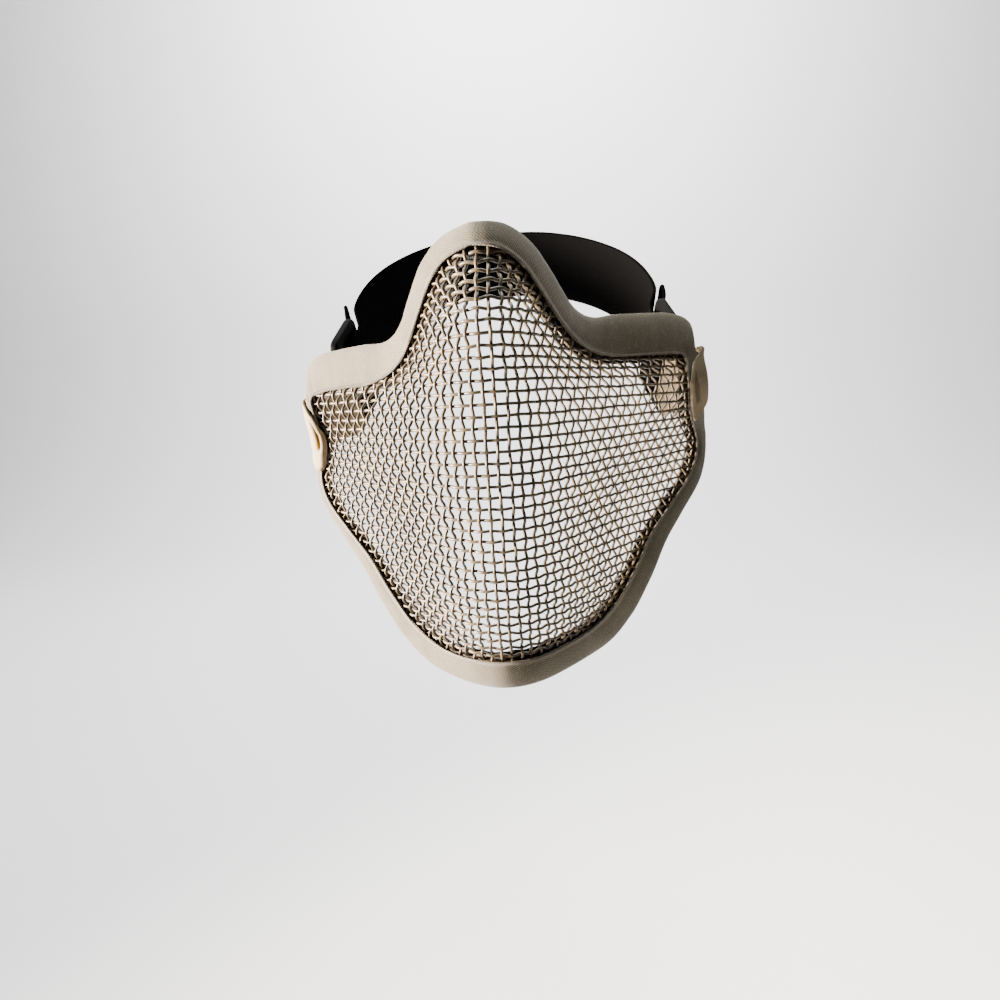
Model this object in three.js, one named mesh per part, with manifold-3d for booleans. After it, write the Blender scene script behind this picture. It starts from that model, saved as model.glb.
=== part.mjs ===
// Half-face mesh mask: a pressed panel of woven steel wire, bound all round its edge with folded
// twill tape, with a fabric tab on each side that carries a plastic slider and the elastic head strap.
// Millimetres, +Z up. The front faces -Y, X = 0 is the ridge of the net, and the two sides are nearly
// alike. The origin is the point on the inner face of the binding that rests on the bridge of the nose.
import * as THREE from 'three';
import { mergeVertices } from 'three/addons/utils/BufferGeometryUtils.js';
import Module from 'manifold-3d';

const wasm = await Module();
wasm.setup();

// ---------------------------------------------------------------- driving dimensions
const wirePitch = 3.5;            // spacing of the wires, both ways
const wireThickness = 1.0;        // diameter of one wire
const wiresPerBar = 4;            // the pierced panel has one bar for every fourth wire
const barWidth = 3.0;
const datumHeight = -57.9;         // height of the wire from which the cross wires are counted
const gap = 0.3;                  // running gap between neighbouring pieces

const tabThickness = 1.0;         // two layers of tape
const tapeCrown = 2.5;            // height of the padded middle of the tape over the panel's middle surface
const grooveHalf = 1.35;          // half width of the groove that holds the rim of the panel
const grooveDepth = 0.84;         // how far the groove runs towards the outer edge, as a share of the tape
const rimShare = 0.45;            // how far the panel runs into the groove, as a share of the tape

const strapWidth = 38;
const strapThickness = 1.8;
const strapRise = THREE.MathUtils.degToRad(38);   // the strap's plane climbs towards the crown
const strapBar = { y: 85, z: -41 };               // where the slider's front bar sits, at mid width
const sliderBarX = 74.5;
const strapShift = 2.5;                           // the strap sits a little to the right of the middle
const slider = { length: 25, height: 50, thickness: 3.6, bar: 4.4, slot: 5.9, end: 5, turn: -0.15, corner: 5 };

// Horizontal sections of the pressed panel, from the bridge of the nose to under the chin.
// front: depth of the centre line; tip: roundness of the ridge; side: slope of the side walls;
// cheek: slope of the flatter cheek panels; start: half width where the cheek panel begins.
const panelSections = [
  { height: 8, front: 4, tip: 13, side: 1.85, cheek: 0.5, start: 33 },
  { height: -6, front: -8, tip: 14.5, side: 2.2, cheek: 0.6, start: 31 },
  { height: -16, front: -14.5, tip: 17.5, side: 2.75, cheek: 0.72, start: 29 },
  { height: -28, front: -22, tip: 24, side: 3.9, cheek: 0.9, start: 29 },
  { height: -45, front: -15.5, tip: 32, side: 2.4, cheek: 0.95, start: 38.5 },
  { height: -65, front: -16, tip: 42, side: 2.1, cheek: 1.55, start: 42.5 },
  { height: -90, front: -14, tip: 39, side: 2.4, cheek: 1.2, start: 41.5 },
  { height: -115, front: -9, tip: 35, side: 1.9, cheek: 0.9, start: 43 },
  { height: -140, front: 0.5, tip: 26, side: 1.65, cheek: 0.5, start: 40 },
  { height: -158, front: 10, tip: 26, side: 1.6, cheek: 0.3, start: 36 },
].reverse();
const cheekBlend = 12;            // how gently a side wall turns into the cheek panel

// The bound edge from the bridge of the nose round to the chin: half width and height of the inner edge
// of the tape, and of its outer fold, on both sides alike. The two sides of this mask are not quite
// alike: on the right the edge stands further out by its flare, and on the left its outer fold is bent
// back towards the face by its curl.
const edgeSections = [
  { at: 'nose_top', inX: 0, inZ: -6, outX: 0, outZ: 2.8, flare: 0, curl: 0 },
  { at: 'nose_shoulder', inX: 8, inZ: -8, outX: 10.5, outZ: 1.5, flare: 0, curl: 0 },
  { at: 'nose_bend', inX: 13.5, inZ: -12.5, outX: 18, outZ: -4, flare: 0, curl: 0 },
  { at: 'nose_side', inX: 18.5, inZ: -20.5, outX: 23.5, outZ: -12.5, flare: 0, curl: 0 },
  { at: 'nose_foot', inX: 25.5, inZ: -30.5, outX: 29.5, outZ: -21.5, flare: 0, curl: 0 },
  { at: 'cheek_hollow', inX: 33.5, inZ: -37, outX: 37, outZ: -25, flare: 0.3, curl: 0 },
  { at: 'cheek', inX: 45, inZ: -39.8, outX: 47, outZ: -24.2, flare: 0.6, curl: 0 },
  { at: 'cheek_far', inX: 60, inZ: -39.8, outX: 60, outZ: -23.8, flare: 0.6, curl: 0.3 },
  { at: 'cheek_end', inX: 70.5, inZ: -40, outX: 72, outZ: -24, flare: 0.6, curl: 1 },
  { at: 'upper_corner', inX: 75, inZ: -42, outX: 80, outZ: -27.5, flare: 0.6, curl: 3 },
  { at: 'back_top', inX: 75, inZ: -49, outX: 81.5, outZ: -38, flare: 0.6, curl: 3.4 },
  { at: 'back', inX: 76, inZ: -59, outX: 85.5, outZ: -56, flare: 0.9, curl: 3.2 },
  { at: 'back_low', inX: 78.5, inZ: -68.5, outX: 88, outZ: -68, flare: 2.4, curl: 3.3 },
  { at: 'lower_corner', inX: 79.5, inZ: -77, outX: 86.5, outZ: -79, flare: 3.8, curl: 4 },
  { at: 'jaw_back', inX: 75, inZ: -86, outX: 80.5, outZ: -91, flare: 3.3, curl: 4.3 },
  { at: 'jaw', inX: 64.5, inZ: -96.5, outX: 70.5, outZ: -102, flare: 2, curl: 3.8 },
  { at: 'jaw_low', inX: 54, inZ: -107, outX: 61, outZ: -113, flare: 1, curl: 2.7 },
  { at: 'jaw_front', inX: 45.5, inZ: -120.5, outX: 54, outZ: -127, flare: 0, curl: 1.3 },
  { at: 'chin_corner', inX: 38.5, inZ: -131, outX: 46, outZ: -141, flare: -0.6, curl: 0.4 },
  { at: 'chin_side', inX: 28, inZ: -137, outX: 34, outZ: -150.5, flare: -0.4, curl: 0 },
  { at: 'chin', inX: 12, inZ: -138, outX: 14, outZ: -151.8, flare: 0, curl: 0 },
  { at: 'chin_centre', inX: 0, inZ: -138, outX: 0, outZ: -152, flare: 0, curl: 0 },
];
const askew = THREE.MathUtils.degToRad(2.7);      // the edge is cut a little askew to the pressed net
const askewAbout = -70;                           // height of the point it is turned about
const stepsPerSection = 2;

// The front leaf of each tab, from its lower end (share 0) to its upper end (share 1). inner and outer:
// stations below the back_top row at the tape's inner edge and outer fold; start: share of the tape where
// the leaf begins; lip: height there; puff: how far the leaf swells; stand and behind: how far it stands
// out past the fold, and halfway to the slider.
const tabSections = {
  right: [
    { share: 0, inner: 1.9, outer: 0.9, start: -0.03, lip: 2.2, puff: 0, stand: 1.4, behind: 2.2 },
    { share: 0.375, inner: 1.2, outer: 0.6, start: -0.03, lip: 2.2, puff: 0, stand: 1.5, behind: 2.4 },
    { share: 0.75, inner: 0.35, outer: 0.25, start: -0.03, lip: 2.2, puff: 0.2, stand: 3.2, behind: 3.0 },
    { share: 0.875, inner: 0.1, outer: 0.15, start: -0.03, lip: 3.2, puff: 0.2, stand: 3.8, behind: 3.2 },
    { share: 1, inner: -0.15, outer: 0.03, start: 0.3, lip: 3.2, puff: 0.2, stand: 4.1, behind: 3.4 },
  ],
  left: [
    { share: 0, inner: 2.45, outer: 1.5, start: -0.06, lip: 1.4, puff: 0, stand: 1.6, behind: 2.6 },
    { share: 0.375, inner: 1.6, outer: 1.1, start: -0.06, lip: 1.4, puff: 0.8, stand: 3.4, behind: 2.8 },
    { share: 0.75, inner: 0.5, outer: 0.5, start: -0.06, lip: 1.4, puff: 0.3, stand: 2.6, behind: 2.6 },
    { share: 0.875, inner: 0.15, outer: 0.35, start: -0.06, lip: 2.8, puff: 0, stand: 2.4, behind: 3.4 },
    { share: 1, inner: -0.1, outer: 0.2, start: 0.05, lip: 3.0, puff: 0, stand: 2.4, behind: 3.4 },
  ],
};

// Path of the strap in its own inclined plane, from one slider round the back of the head: half width
// and distance back from the slider's front bar. Mirrored for the other side.
const strapRoute = [
  { x: 73, back: 40 }, { x: 72, back: 56 }, { x: 65, back: 77 },
  { x: 48, back: 97 }, { x: 25, back: 109.5 }, { x: 0, back: 113 },
];
const tailRoute = {
  right: [{ x: 76.4, back: 34 }, { x: 77.5, back: 46 }],
  left: [{ x: 76.4, back: 34 }, { x: 79.5, back: 46 }],
};

// ---------------------------------------------------------------- materials
const finish = (color, roughness, metalness) => new THREE.MeshStandardMaterial({ color, roughness, metalness });
const steel = finish(0x8c8170, 0.42, 0.85);
const twill = finish(0x8f8876, 0.92, 0);
const elastic = finish(0x1c1c1e, 0.8, 0);
const plastic = finish(0x141415, 0.35, 0);

// ---------------------------------------------------------------- curves through tables
// Smooth curve through the rows of a table with uneven steps; returns one value.
function through(rows, key, column, where) {
  const last = rows.length - 1;
  const slope = (i) => (rows[i + 1][column] - rows[i][column]) / (rows[i + 1][key] - rows[i][key]);
  const tangent = (i) => {
    if (i === 0) return slope(0);
    if (i === last) return slope(last - 1);
    const before = rows[i][key] - rows[i - 1][key];
    const after = rows[i + 1][key] - rows[i][key];
    return (slope(i - 1) * after + slope(i) * before) / (before + after);
  };
  if (where <= rows[0][key]) return rows[0][column] + tangent(0) * (where - rows[0][key]);
  if (where >= rows[last][key]) return rows[last][column] + tangent(last) * (where - rows[last][key]);
  let i = 0;
  while (rows[i + 1][key] < where) i += 1;
  const step = rows[i + 1][key] - rows[i][key];
  const t = (where - rows[i][key]) / step;
  return (2 * t ** 3 - 3 * t ** 2 + 1) * rows[i][column] + (t ** 3 - 2 * t ** 2 + t) * step * tangent(i)
    + (3 * t ** 2 - 2 * t ** 3) * rows[i + 1][column] + (t ** 3 - t ** 2) * step * tangent(i + 1);
}

// Straight steps between the rows of a table; returns one value.
function between(rows, key, column, where) {
  const i = Math.min(rows.findIndex((row, j) => j > 0 && row[key] >= where), rows.length - 1);
  const share = (where - rows[i - 1][key]) / (rows[i][key] - rows[i - 1][key]);
  return rows[i - 1][column] + share * (rows[i][column] - rows[i - 1][column]);
}

// ---------------------------------------------------------------- the pressed surface
const ramp = (u) => 0.5 * (u + Math.hypot(u, cheekBlend));

function sectionAt(height) {
  const row = {};
  for (const column of ['front', 'tip', 'side', 'cheek', 'start']) {
    row[column] = through(panelSections, 'height', column, height);
  }
  return row;
}

function depthIn(row, x) {
  const a = Math.abs(x);
  return row.front + row.side * (Math.hypot(a, row.tip) - row.tip)
    + (row.cheek - row.side) * (ramp(a - row.start) - ramp(-row.start));
}

const depthAt = (x, height) => depthIn(sectionAt(height), x);

// Point at a distance in front of the middle surface, square to it.
function surfacePoint(x, height, proud = 0) {
  const h = 0.5;
  const alongX = (depthAt(x + h, height) - depthAt(x - h, height)) / (2 * h);
  const alongZ = (depthAt(x, height + h) - depthAt(x, height - h)) / (2 * h);
  const normal = new THREE.Vector3(alongX, -1, alongZ).normalize();
  return new THREE.Vector3(x, depthAt(x, height), height).addScaledVector(normal, proud);
}

// Half width reached by a length measured along the panel's section from the centre line.
function halfWidthAtLength(row, length) {
  const step = 0.5;
  let x = 0;
  let run = 0;
  while (run < length) {
    const piece = Math.hypot(step, depthIn(row, x + step) - depthIn(row, x));
    if (run + piece >= length) return x + step * (length - run) / piece;
    run += piece;
    x += step;
  }
  return x;
}

// Height reached by a length measured down the centre line from the datum wire.
function heightAtLength(length) {
  const step = length > 0 ? -0.25 : 0.25;
  let z = datumHeight;
  let run = 0;
  while (run < Math.abs(length)) {
    run += Math.hypot(step, depthAt(0, z + step) - depthAt(0, z));
    z += step;
  }
  return z;
}

// ---------------------------------------------------------------- the bound edge
const edgeRows = edgeSections.map((row, i) => ({ ...row, i }));

// Place on the edge at a station: how far from the bridge of the nose towards the chin, and which side.
function edgePlace(station) {
  const last = edgeRows.length - 1;
  const folded = Math.abs(((station % (2 * last)) + 2 * last) % (2 * last));
  return folded > last ? { side: -1, at: 2 * last - folded } : { side: 1, at: folded };
}

// Position across the tape at a station along the edge: share 0 is its inner edge, 1 its outer fold.
function edgePoint(station, share) {
  const { side, at } = edgePlace(station);
  const inner = new THREE.Vector2(through(edgeRows, 'i', 'inX', at), through(edgeRows, 'i', 'inZ', at));
  const outer = new THREE.Vector2(through(edgeRows, 'i', 'outX', at), through(edgeRows, 'i', 'outZ', at));
  const across = outer.clone().sub(inner);
  const p = inner.addScaledVector(across, share);
  if (side > 0) p.addScaledVector(across.normalize(), through(edgeRows, 'i', 'flare', at));
  p.x *= side;
  p.rotateAround(new THREE.Vector2(0, askewAbout), askew);
  return { x: p.x, z: p.y };
}

// Point of the bound edge at a height over its middle surface, which curls towards the face on the left.
function tapePoint(station, share, proud) {
  const { side, at } = edgePlace(station);
  const p = edgePoint(station, share);
  const curl = side < 0 ? through(edgeRows, 'i', 'curl', at) * Math.max(share, 0) ** 2 : 0;
  return surfacePoint(p.x, p.z, proud - curl);
}

function edgeOutline(share, steps) {
  const outline = [];
  const count = 2 * (edgeRows.length - 1) * steps;
  for (let i = 0; i < count; i += 1) {
    const p = edgePoint(i / steps, share);
    outline.push(new THREE.Vector2(p.x, p.z));
  }
  return outline;
}

function inside(outline, x, z) {
  let within = false;
  for (let i = 0, j = outline.length - 1; i < outline.length; j = i, i += 1) {
    const a = outline[i];
    const b = outline[j];
    if ((a.y > z) !== (b.y > z) && x < (b.x - a.x) * (z - a.y) / (b.y - a.y) + a.x) within = !within;
  }
  return within;
}

// ---------------------------------------------------------------- meshes and solids
function meshFrom(points, faces) {
  let volume = 0;
  for (const [a, b, c] of faces) {
    volume += points[a].dot(new THREE.Vector3().crossVectors(points[b], points[c]));
  }
  const index = faces.flatMap(([a, b, c]) => (volume > 0 ? [a, b, c] : [a, c, b]));
  const geometry = new THREE.BufferGeometry();
  geometry.setAttribute('position', new THREE.Float32BufferAttribute(points.flatMap((p) => p.toArray()), 3));
  geometry.setIndex(index);
  return geometry;
}

// Skin over a row of rings with equal point counts; a closed row joins its last ring to its first.
// An open row is capped across its end rings, which run out along a band and back along its other face.
function skin(rings, closed) {
  const n = rings[0].length;
  const faces = [];
  const spans = closed ? rings.length : rings.length - 1;
  for (let r = 0; r < spans; r += 1) {
    const a = r * n;
    const b = ((r + 1) % rings.length) * n;
    for (let i = 0; i < n; i += 1) {
      const j = (i + 1) % n;
      faces.push([a + i, a + j, b + j], [a + i, b + j, b + i]);
    }
  }
  for (let i = 0; !closed && i < n / 2 - 1; i += 1) {
    const end = (rings.length - 1) * n;
    const [j, k, l] = [i + 1, n - 2 - i, n - 1 - i];
    faces.push([i, k, j], [i, l, k], [end + i, end + j, end + k], [end + i, end + k, end + l]);
  }
  return meshFrom(rings.flat(), faces);
}

function toManifold(geometry) {
  const bare = geometry.clone();
  bare.deleteAttribute('normal');
  bare.deleteAttribute('uv');
  const merged = mergeVertices(bare, 1e-4);
  const vertProperties = new Float32Array(merged.attributes.position.array);
  const triVerts = new Uint32Array(merged.index.array);
  return new wasm.Manifold(new wasm.Mesh({ numProp: 3, vertProperties, triVerts }));
}

function fromManifold(solid) {
  const mesh = solid.getMesh();
  const geometry = new THREE.BufferGeometry();
  geometry.setAttribute('position', new THREE.Float32BufferAttribute(mesh.vertProperties, 3));
  geometry.setIndex(Array.from(mesh.triVerts));
  return geometry;
}

// ---------------------------------------------------------------- binding tape
// Section of the folded tape: share across the tape, and height over the panel's middle surface.
// The groove between its two leaves holds the rim of the panel.
function tapeSection(grow) {
  const out = tapeCrown + grow;
  const lip = tapeCrown - 0.15 + grow;
  const inner = grooveHalf - grow;
  const start = grow > 0 ? -0.03 : 0;
  return [
    [start, inner], [start, lip], [0.3, out], [0.78, out], [0.97, lip - 1], [1, 0],
    [0.97, 1 - lip], [0.78, -out], [0.3, -out], [start, -lip], [start, -inner],
    [grooveDepth - grow / 12, -inner], [grooveDepth - grow / 12, inner],
  ];
}

function bindingGeometry(grow = 0) {
  const rings = [];
  const count = 2 * (edgeRows.length - 1) * stepsPerSection;
  for (let i = 0; i < count; i += 1) {
    rings.push(tapeSection(grow).map(([share, proud]) => tapePoint(i / stepsPerSection, share, proud)));
  }
  return skin(rings, true);
}

// ---------------------------------------------------------------- pierced wire panel
// Grid lines across one row of bars and gaps: both edges of each bar and the middle of each gap.
function barLines(first, last) {
  const pitch = wirePitch * wiresPerBar;
  const lines = [];
  for (let bar = first; bar <= last; bar += 1) {
    lines.push({ at: bar * pitch - barWidth / 2, solidAfter: true });
    lines.push({ at: bar * pitch + barWidth / 2, solidAfter: false });
    if (bar < last) lines.push({ at: (bar + 0.5) * pitch, solidAfter: false });
  }
  return lines;
}

function panelGeometry() {
  const across = barLines(-9, 9);
  const down = barLines(-5, 6);
  const half = wireThickness;
  const points = [];
  const flat = [];
  for (const line of down) {
    const height = heightAtLength(line.at);
    const row = sectionAt(height);
    for (const column of across) {
      const x = Math.sign(column.at) * halfWidthAtLength(row, Math.abs(column.at));
      flat.push({ x, z: height });
      points.push(surfacePoint(x, height, half), surfacePoint(x, height, -half));
    }
  }
  const sight = edgeOutline(-0.03, 3);
  const wide = across.length;
  const at = (r, c) => r * wide + c;
  const open = (r, c) => {
    if (r < 0 || c < 0 || r >= down.length - 1 || c >= wide - 1) return true;
    if (down[r].solidAfter || across[c].solidAfter) return false;
    const corners = [at(r, c), at(r, c + 1), at(r + 1, c), at(r + 1, c + 1)].map((i) => flat[i]);
    const x = corners.reduce((sum, p) => sum + p.x, 0) / 4;
    const z = corners.reduce((sum, p) => sum + p.z, 0) / 4;
    return inside(sight, x, z) && corners.filter((p) => inside(sight, p.x, p.z)).length > 2;
  };
  const faces = [];
  const wall = (a, b) => faces.push([2 * a, 2 * a + 1, 2 * b + 1], [2 * a, 2 * b + 1, 2 * b]);
  for (let r = 0; r < down.length - 1; r += 1) {
    for (let c = 0; c < wide - 1; c += 1) {
      if (!open(r, c)) {
        const [a, b, d, e] = [at(r, c), at(r, c + 1), at(r + 1, c + 1), at(r + 1, c)];
        faces.push([2 * a, 2 * b, 2 * d], [2 * a, 2 * d, 2 * e]);
        faces.push([2 * a + 1, 2 * d + 1, 2 * b + 1], [2 * a + 1, 2 * e + 1, 2 * d + 1]);
        if (open(r - 1, c)) wall(a, b);
        if (open(r, c + 1)) wall(b, d);
        if (open(r + 1, c)) wall(d, e);
        if (open(r, c - 1)) wall(e, a);
      }
    }
  }
  return meshFrom(points, faces);
}

function meshPanel() {
  const rim = new THREE.Shape(edgeOutline(rimShare, 2));
  const reach = 160;
  const prism = new THREE.ExtrudeGeometry(rim, { depth: reach, bevelEnabled: false, steps: 1 });
  prism.rotateX(Math.PI / 2);
  prism.translate(0, reach * 0.75, 0);
  const clearance = toManifold(bindingGeometry(gap));
  return fromManifold(toManifold(panelGeometry()).intersect(toManifold(prism)).subtract(clearance));
}

// ---------------------------------------------------------------- strap, sliders and tabs
const backward = new THREE.Vector3(0, Math.cos(strapRise), Math.sin(strapRise));
const acrossStrap = new THREE.Vector3(0, -Math.sin(strapRise), Math.cos(strapRise));

// Point in the strap's inclined plane, at a distance from its middle across the width.
function onStrap(x, back, offset = 0) {
  return new THREE.Vector3(x + strapShift, strapBar.y, strapBar.z).addScaledVector(backward, back)
    .addScaledVector(acrossStrap, offset);
}

// Solid of a flat outline in the strap's plane, drawn out across the strap's width.
function strapSolid(outline, width) {
  const rings = [-width / 2, width / 2].map((offset) => outline.map((p) => onStrap(p.x, p.y, offset)));
  return skin(rings, false);
}

// Outline of a band of even thickness along a row of points.
function bandOutline(line, thickness) {
  const outer = [];
  const inner = [];
  line.forEach((p, i) => {
    const before = line[Math.max(i - 1, 0)];
    const after = line[Math.min(i + 1, line.length - 1)];
    const t = after.clone().sub(before).normalize();
    outer.push(new THREE.Vector2(p.x - t.y * thickness / 2, p.y + t.x * thickness / 2));
    inner.unshift(new THREE.Vector2(p.x + t.y * thickness / 2, p.y - t.x * thickness / 2));
  });
  return [...outer, ...inner];
}

// Point beside the right-hand slider: distance along it from its front bar, and out from its middle plane.
function bySlider(along, out) {
  const c = Math.cos(slider.turn);
  const s = Math.sin(slider.turn);
  return new THREE.Vector2(sliderBarX + along * s + out * c, along * c - out * s);
}

// Middle line of half the strap, as on the right: from the free end of the tail, round the middle bar of
// the slider, to the back of the head.
function halfStrap(route) {
  const bar = slider.bar + slider.slot;
  const turn = Math.hypot(slider.bar, slider.thickness) / 2 + gap + strapThickness / 2;
  const lie = slider.thickness / 2 + gap + 0.1 + strapThickness / 2;
  const rear = slider.length - slider.bar / 2;
  const tail = new THREE.SplineCurve([
    ...[...route].reverse().map((p) => new THREE.Vector2(p.x, p.back)),
    bySlider(rear, lie), bySlider(bar + 1.5, turn),
  ]);
  const bend = [];
  for (let i = 1; i < 9; i += 1) {
    const angle = Math.PI * i / 9;
    bend.push(bySlider(bar - turn * Math.sin(angle), turn * Math.cos(angle)));
  }
  const round = new THREE.SplineCurve([
    bySlider(bar + 1.5, -turn), bySlider(rear, -lie),
    ...strapRoute.map((p) => new THREE.Vector2(p.x, p.back)),
  ]);
  const half = [...tail.getSpacedPoints(6), ...bend, ...round.getSpacedPoints(20)];
  half[half.length - 1].x = 0;
  return half;
}

function strapLine() {
  const left = halfStrap(tailRoute.left).map((p) => new THREE.Vector2(-p.x, p.y));
  return [...halfStrap(tailRoute.right), ...left.slice(0, -1).reverse()];
}

// Plastic slider: a rounded plate with two slots, which leave three bars across the strap.
function sliderGeometry(sign) {
  const { length, height, thickness, corner, bar, slot, end } = slider;
  const plate = new THREE.Shape();
  const [x0, x1, y0, y1] = [-bar / 2, length - bar / 2, -height / 2, height / 2];
  plate.moveTo(x0 + corner, y0).lineTo(x1 - corner, y0).quadraticCurveTo(x1, y0, x1, y0 + corner);
  plate.lineTo(x1, y1 - corner).quadraticCurveTo(x1, y1, x1 - corner, y1).lineTo(x0 + corner, y1);
  plate.quadraticCurveTo(x0, y1, x0, y1 - corner).lineTo(x0, y0 + corner);
  plate.quadraticCurveTo(x0, y0, x0 + corner, y0);
  const draw = { depth: thickness, bevelEnabled: false, steps: 1, curveSegments: 4 };
  const blank = new THREE.ExtrudeGeometry(plate, draw);
  blank.translate(0, 0, -thickness / 2);
  let solid = toManifold(blank);
  for (const start of [bar / 2, bar / 2 + slot + bar]) {
    const window = new THREE.BoxGeometry(slot, height - 2 * end, 2 * thickness);
    window.translate(start + slot / 2, 0, 0);
    solid = solid.subtract(toManifold(window));
  }
  const geometry = fromManifold(solid);
  const along = backward.clone().multiplyScalar(Math.cos(slider.turn));
  along.x = sign * Math.sin(slider.turn);
  const thick = new THREE.Vector3().crossVectors(along, acrossStrap);
  const frame = new THREE.Matrix4().makeBasis(along, acrossStrap, thick);
  frame.setPosition(sign * sliderBarX + strapShift, strapBar.y, strapBar.z);
  return geometry.applyMatrix4(frame);
}

// Fabric tab: a folded piece of tape that lies on both faces of the binding at the back edge and
// closes round the slider's front bar. Each ring is one section across it, bottom to top.
function tabGeometry(side, sign) {
  const last = edgeRows.findIndex((row) => row.at === 'back_top');
  const steps = 8;
  const clear = gap + tapeCrown + 0.2;
  const rear = clear + 0.4;
  const barRoom = slider.thickness / 2 + gap;
  const fold = slider.bar / 2 + gap + 0.2;
  const rings = [];
  for (let i = 0; i <= steps; i += 1) {
    const share = i / steps;
    const at = (column) => between(tabSections[side], 'share', column, share);
    const [start, lip, high] = [at('start'), at('lip'), clear + at('puff')];
    // Each row: what it follows, how far along, how high, and how much of the cloth's thickness goes
    // towards the net instead of outwards.
    const outside = [
      ['edge', start, lip, 1], ['edge', start, Math.max(lip, high - 0.3), 0.7],
      ['edge', start + 0.12, high, 0], ['edge', 0.82, high, 0], ['edge', 1.06, at('stand'), 0],
      ['bar', -11, at('behind'), 0], ['bar', -3, barRoom, 0], ['bar', 1.2, barRoom, 0],
    ];
    const inside = [
      ['bar', 1.2, -barRoom], ['bar', -3, -barRoom], ['bar', -9, -3],
      ['edge', 1.04, 0.6 - rear], ['edge', 0.7, -rear], ['edge', 0.12, -rear],
    ];
    const path = (extra) => [
      ...outside.map(([kind, along, out, lean]) => [kind, along - lean * extra / 10, out + (1 - lean) * extra]),
      ['bar', fold + extra, barRoom - 0.2 + 0.2 * extra], ['bar', fold + extra, 0.2 - barRoom - 0.2 * extra],
      ...inside.map(([kind, along, out]) => [kind, along, out - extra]),
    ];
    rings.push([...path(tabThickness), ...path(0).reverse()].map(([kind, along, out]) => {
      if (kind === 'edge') {
        const reach = Math.min(Math.max(along, 0), 1);
        const station = last + at('inner') + (at('outer') - at('inner')) * reach;
        return tapePoint(sign * station, along, out);
      }
      const q = bySlider(along, out);
      return onStrap(sign * q.x, q.y, (share - 0.5) * (strapWidth - 2));
    }));
  }
  return skin(rings, false);
}

// ---------------------------------------------------------------- assembly
const mask = new THREE.Group();
function add(name, geometry, material) {
  const piece = new THREE.Mesh(geometry, material);
  piece.name = name;
  mask.add(piece);
}

add('mesh_panel', meshPanel(), steel);
add('edge_binding', bindingGeometry(), twill);
add('head_strap', strapSolid(bandOutline(strapLine(), strapThickness), strapWidth), elastic);
for (const [side, sign] of [['right', 1], ['left', -1]]) {
  add(`side_tab_${side}`, tabGeometry(side, sign), twill);
  add(`slider_${side}`, sliderGeometry(sign), plastic);
}

export default mask;
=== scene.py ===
# Half-face mask of woven steel wire with a twill-bound edge, fabric tabs, sliders and an elastic strap.
# The mask's lengths are in millimetres, and MM turns them into metres where a mesh, the camera or a
# modifier takes them. The floor and the lights are in metres. +Z is up, -Y is the way the face looks, and
# +X is to the right seen from the front.
import math
import random

import bmesh
import bpy
import numpy as np
from mathutils import Matrix, Vector


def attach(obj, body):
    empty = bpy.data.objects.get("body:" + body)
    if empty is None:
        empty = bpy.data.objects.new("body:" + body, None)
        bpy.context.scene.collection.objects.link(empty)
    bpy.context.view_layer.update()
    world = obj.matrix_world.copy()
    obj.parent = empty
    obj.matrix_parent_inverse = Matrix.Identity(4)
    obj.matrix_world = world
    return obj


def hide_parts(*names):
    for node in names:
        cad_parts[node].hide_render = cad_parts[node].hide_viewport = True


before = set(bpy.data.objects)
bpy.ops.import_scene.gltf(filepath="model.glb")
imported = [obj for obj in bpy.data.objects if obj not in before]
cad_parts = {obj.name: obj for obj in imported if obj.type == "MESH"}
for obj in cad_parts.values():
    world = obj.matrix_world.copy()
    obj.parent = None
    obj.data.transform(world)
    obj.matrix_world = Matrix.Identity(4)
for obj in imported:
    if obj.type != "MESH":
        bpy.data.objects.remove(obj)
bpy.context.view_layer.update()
MM = 0.001


def placed(name, data):
    """A new object in the scene."""
    made = bpy.data.objects.new(name, data)
    bpy.context.scene.collection.objects.link(made)
    return made


# ------------------------------------------------------------------ camera
EYE = (9.806, -181.267, -49.459)
YAW, PITCH, ROLL = math.radians(-2.893), math.radians(-10.217), math.radians(-3.311)
LENS = 20.186


def set_camera():
    forward = Vector((math.sin(YAW) * math.cos(PITCH), math.cos(YAW) * math.cos(PITCH), math.sin(PITCH)))
    level = Vector((math.cos(YAW), -math.sin(YAW), 0))
    upright = level.cross(forward)
    right = math.cos(ROLL) * level + math.sin(ROLL) * upright
    up = math.cos(ROLL) * upright - math.sin(ROLL) * level
    data = bpy.data.cameras.new("camera")
    data.sensor_width = 36
    data.lens = LENS
    data.clip_start = 0.01
    camera = placed("camera", data)
    turn = Matrix((right, up, -forward)).transposed().to_4x4()
    camera.matrix_world = Matrix.Translation(Vector(EYE) * MM) @ turn
    bpy.context.scene.camera = camera


set_camera()

# ------------------------------------------------------------------ sizes of the mask
WIRE_PITCH = 3.5
WIRE_THICKNESS = 1.0
CRIMP_ACROSS, CRIMP_DOWN = 0.38, 0.62    # how far each set of wires swings; together one thickness
DATUM_HEIGHT, DATUM_WIRE = -57.9, 15     # height and number of the wire that the others are counted from
WIRES_ACROSS = range(-4, 41)
WIRES_DOWN = range(-34, 36)
WIRE_REACH = 0.36                        # how far the wires run under the tape, as a share of its width
CHEEK_BLEND = 12                         # how gently a side wall turns into the cheek
FINE_STEP = 0.25                         # between the points by which lengths over the net are measured
TAPE_CROWN = 2.5                         # height of the tape's padded middle over the net's middle surface
GAP = 0.3
TAB_THICKNESS = 1.0
STRAP_WIDTH = 38
STRAP_THICKNESS = 1.8
CLOTH_SHARE = 0.9                        # cloth is drawn a little thinner, to stay clear of what it touches
STRAP_RISE = math.radians(38)            # the strap's plane climbs towards the crown of the head
STRAP_BAR = (85, -41)                    # depth and height of the slider's front bar
STRAP_SHIFT = 2.5                        # the strap sits a little to the right
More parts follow.
